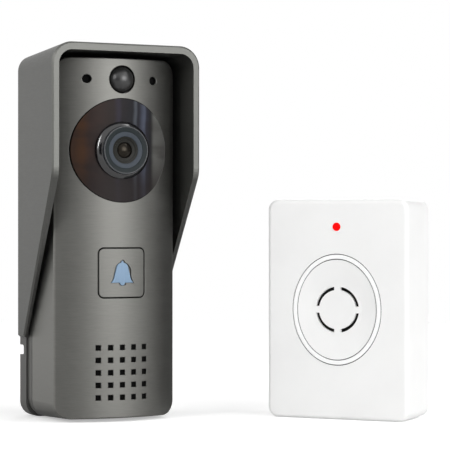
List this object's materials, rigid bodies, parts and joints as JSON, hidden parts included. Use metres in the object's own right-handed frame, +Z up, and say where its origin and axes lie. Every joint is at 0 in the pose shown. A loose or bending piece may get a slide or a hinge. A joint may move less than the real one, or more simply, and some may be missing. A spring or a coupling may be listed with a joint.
{
  "type": "video intercom",
  "caption": "Door station with camera, call button and rain hood on its wall bracket, with a wireless chime beside it.",
  "frame": {"origin": "middle of the wall bracket's foot, on the surface both units stand on", "axes": "+X across the door station's front, +Y into the wall, +Z up"},
  "size_m": [0.1453, 0.0924, 0.144],
  "materials": {
    "gunmetal": "satin gunmetal grey with a fine brushed grain",
    "dark_housing": "matte dark grey moulding",
    "black_rubber": "soft matte",
    "steel": "plain",
    "smoked_window": "polished smoked window",
    "dark_gloss": "polished near-black",
    "lens_ring_blue": "satin blue-grey",
    "black_plastic": "matte black",
    "lens_glass": "coated lens",
    "circuit_board": "green solder mask",
    "clear_lamp": "water clear",
    "bell_blue": "pale blue light window",
    "stem_white": "plain",
    "cone_paper": "pressed paper",
    "plated_brass": "plated",
    "cell_wrap": "plain wrap",
    "white_plastic": "fine satin white moulding",
    "white_gloss": "polished white",
    "red_led": "red lamp"
  },
  "bodies": {
    "root": {"wall_bracket": "dark_housing", "rain_hood": "gunmetal", "hood_screws": "steel"},
    "door_unit": {"front_housing": "gunmetal", "rear_cover": "dark_housing", "housing_seal": "black_rubber", "cover_screws": "steel", "camera_window": "smoked_window", "window_seal": "black_rubber", "lens_bezel": "dark_gloss", "lens_ring": "lens_ring_blue", "lens_barrel": "black_plastic", "front_lens": "lens_glass", "camera_board": "circuit_board", "image_sensor": "black_plastic", "infrared_board": "circuit_board", "infrared_leds": "clear_lamp", "pir_dome": "dark_gloss", "pir_sensor": "steel", "microphone_sleeve": "black_rubber", "microphone": "steel", "light_pipe": "dark_gloss", "light_sensor": "black_plastic", "button_switch": "black_plastic", "grille_mesh": "black_plastic", "speaker_basket": "black_plastic", "speaker_cone": "cone_paper", "speaker_magnet": "black_plastic", "main_board": "circuit_board", "board_screws": "steel", "radio_shield": "steel", "antenna": "plated_brass", "battery_tray": "black_plastic", "battery_cells": "cell_wrap", "battery_contacts": "plated_brass", "charging_socket": "steel", "charging_flap": "black_rubber"},
    "call_key": {"call_button": "gunmetal", "bell_window": "bell_blue", "switch_stem": "stem_white"},
    "chime": {"chime_front_shell": "white_plastic", "chime_back_shell": "white_plastic", "chime_ring": "white_gloss", "chime_dish": "white_plastic", "chime_led": "red_led", "chime_board": "circuit_board", "chime_board_screws": "steel", "chime_sounder": "black_plastic", "chime_cone": "cone_paper", "chime_magnet": "black_plastic", "key_switches": "black_plastic", "chime_screws": "steel", "chime_cells": "cell_wrap", "chime_contacts": "plated_brass"},
    "chime_door": {"chime_battery_door": "white_plastic"},
    "volume": {"volume_key": "white_plastic"},
    "melody": {"melody_key": "white_plastic"}
  },
  "joints": [
    {"name": "unit_pull_off", "type": "slide", "parent": "root", "child": "door_unit", "axis": [0, -1, 0], "range_m": [0, 0.06]},
    {"name": "call_press", "type": "slide", "parent": "door_unit", "child": "call_key", "axis": [0, 1, 0], "range_m": [0, 0.0008], "stiffness_N_per_m": 1500, "springref_m": -0.0006},
    {"name": "chime_lift", "type": "slide", "parent": "root", "child": "chime", "axis": [0, 0, 1], "range_m": [0, 0.06]},
    {"name": "chime_door_off", "type": "slide", "parent": "chime", "child": "chime_door", "axis": [0.7793, 0.6266, 0], "range_m": [0, 0.012]},
    {"name": "volume_press", "type": "slide", "parent": "chime", "child": "volume", "axis": [0.6266, -0.7793, 0], "range_m": [0, 0.0005], "stiffness_N_per_m": 1500, "springref_m": -0.0006},
    {"name": "melody_press", "type": "slide", "parent": "chime", "child": "melody", "axis": [0.6266, -0.7793, 0], "range_m": [0, 0.0005], "stiffness_N_per_m": 1500, "springref_m": -0.0006}
  ]
}
